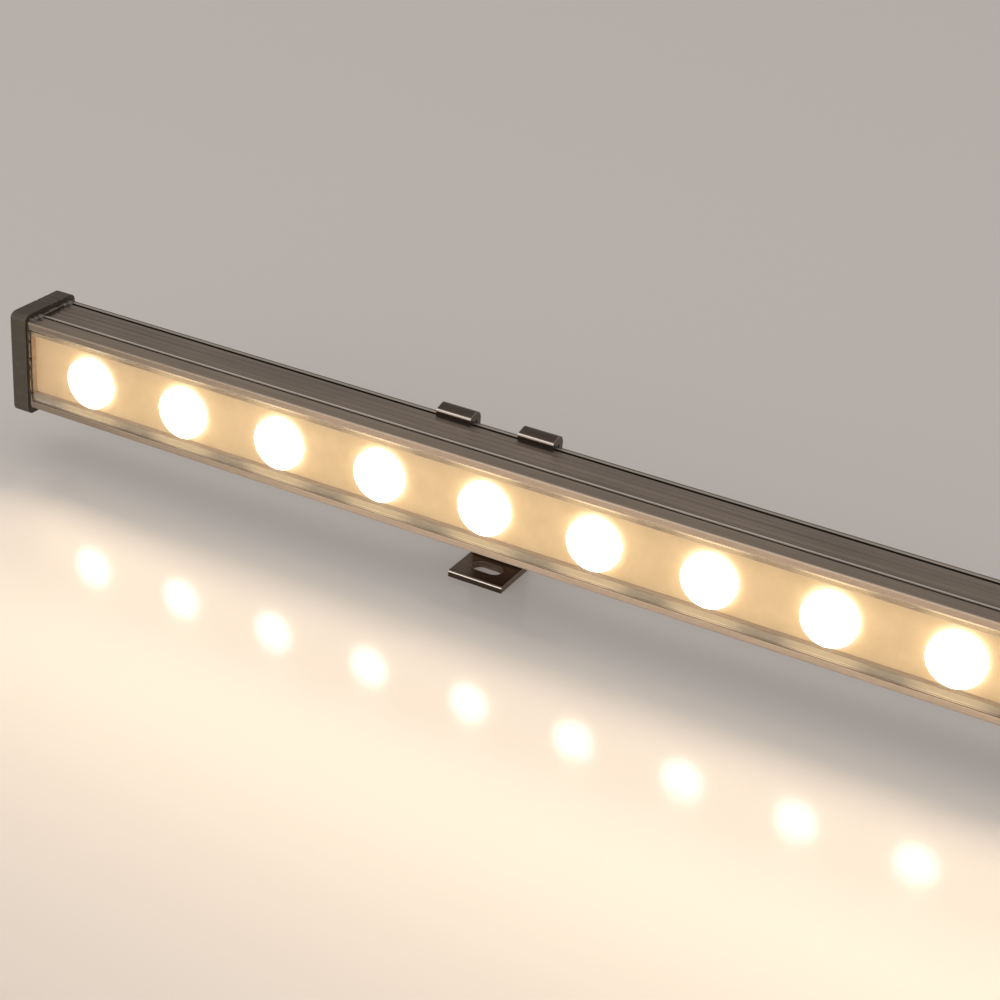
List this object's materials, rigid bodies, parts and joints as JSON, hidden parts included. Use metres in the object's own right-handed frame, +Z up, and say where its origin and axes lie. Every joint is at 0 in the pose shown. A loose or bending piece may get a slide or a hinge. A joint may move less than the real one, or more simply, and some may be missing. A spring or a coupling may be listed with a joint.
{
  "type": "linear floodlight",
  "caption": "Slim bar floodlight with a row of round lenses behind a clear front, in a grooved metal housing with end caps, held by sliding clips on tilting slotted feet.",
  "frame": {"origin": "midway between the two foot slots, on the plane that the feet stand on", "axes": "+X along the bar towards its cable end, +Y to the back, +Z up; the light faces -Y"},
  "size_m": [0.5117, 0.0262, 0.0392],
  "materials": {
    "anodised_body": "brown-grey anodised, fine lengthwise grain",
    "anodised_bracket": "dark anodised, satin",
    "cap_plastic": "dark moulded, fine matt",
    "clear_cover": "clear, polished",
    "lens": "clear optical, lit from behind",
    "pale_tray": "pale, matt",
    "silicone": "translucent, glossy",
    "grey_pad": "soft, matt",
    "board": "white lacquer over metal core",
    "emitter": "phosphor yellow in a white frame",
    "black_chip": "moulded",
    "pale_terminal": "moulded",
    "steel": "plated",
    "black_plastic": "moulded",
    "black_rubber": "soft, matt"
  },
  "bodies": {
    "left_foot": {"left_foot": "anodised_bracket"},
    "left_clip": {"left_clip": "anodised_bracket", "left_hinge_screw": "steel", "left_hinge_nut": "steel"},
    "bar": {"housing": "anodised_body", "front_cover": "clear_cover", "upper_cover_seal": "silicone", "lower_cover_seal": "silicone", "lens_tray": "pale_tray", "thermal_pad": "grey_pad", "circuit_board": "board", "led_emitters": "emitter", "board_components": "black_chip", "wire_terminal": "pale_terminal", "gland_body": "black_plastic", "gland_nut": "black_plastic", "gland_seal": "black_rubber", "lens_01": "lens", "lens_02": "lens", "lens_03": "lens", "lens_04": "lens", "lens_05": "lens", "lens_06": "lens", "lens_07": "lens", "lens_08": "lens", "lens_09": "lens", "lens_10": "lens", "lens_11": "lens", "lens_12": "lens", "lens_13": "lens", "lens_14": "lens", "lens_15": "lens", "lens_16": "lens", "lens_17": "lens", "lens_18": "lens", "left_end_cap": "cap_plastic", "left_cap_gasket": "silicone", "left_cap_sealant": "silicone", "left_cap_screws": "steel", "right_end_cap": "cap_plastic", "right_cap_gasket": "silicone", "right_cap_sealant": "silicone", "right_cap_screws": "steel"},
    "right_clip": {"right_clip": "anodised_bracket", "right_hinge_screw": "steel", "right_hinge_nut": "steel"},
    "right_foot": {"right_foot": "anodised_bracket"}
  },
  "joints": [
    {"name": "left_tilt", "type": "hinge", "parent": "left_foot", "child": "left_clip", "pos_m": [-0.126, 0.0064, 0.0175], "axis": [-1, 0, 0], "range_deg": [-35, 90]},
    {"name": "left_slide", "type": "slide", "parent": "left_clip", "child": "bar", "axis": [1, 0, 0], "range_m": [-0.1, 0.1]},
    {"name": "right_slide", "type": "slide", "parent": "bar", "child": "right_clip", "axis": [1, 0, 0], "range_m": [-0.1, 0.1]},
    {"name": "right_tilt", "type": "hinge", "parent": "right_clip", "child": "right_foot", "pos_m": [0.126, 0.0064, 0.0175], "axis": [-1, 0, 0], "range_deg": [-90, 35]}
  ],
  "couplings": [
    {"joint": "right_tilt", "follows": "left_tilt", "ratio": -1}
  ]
}
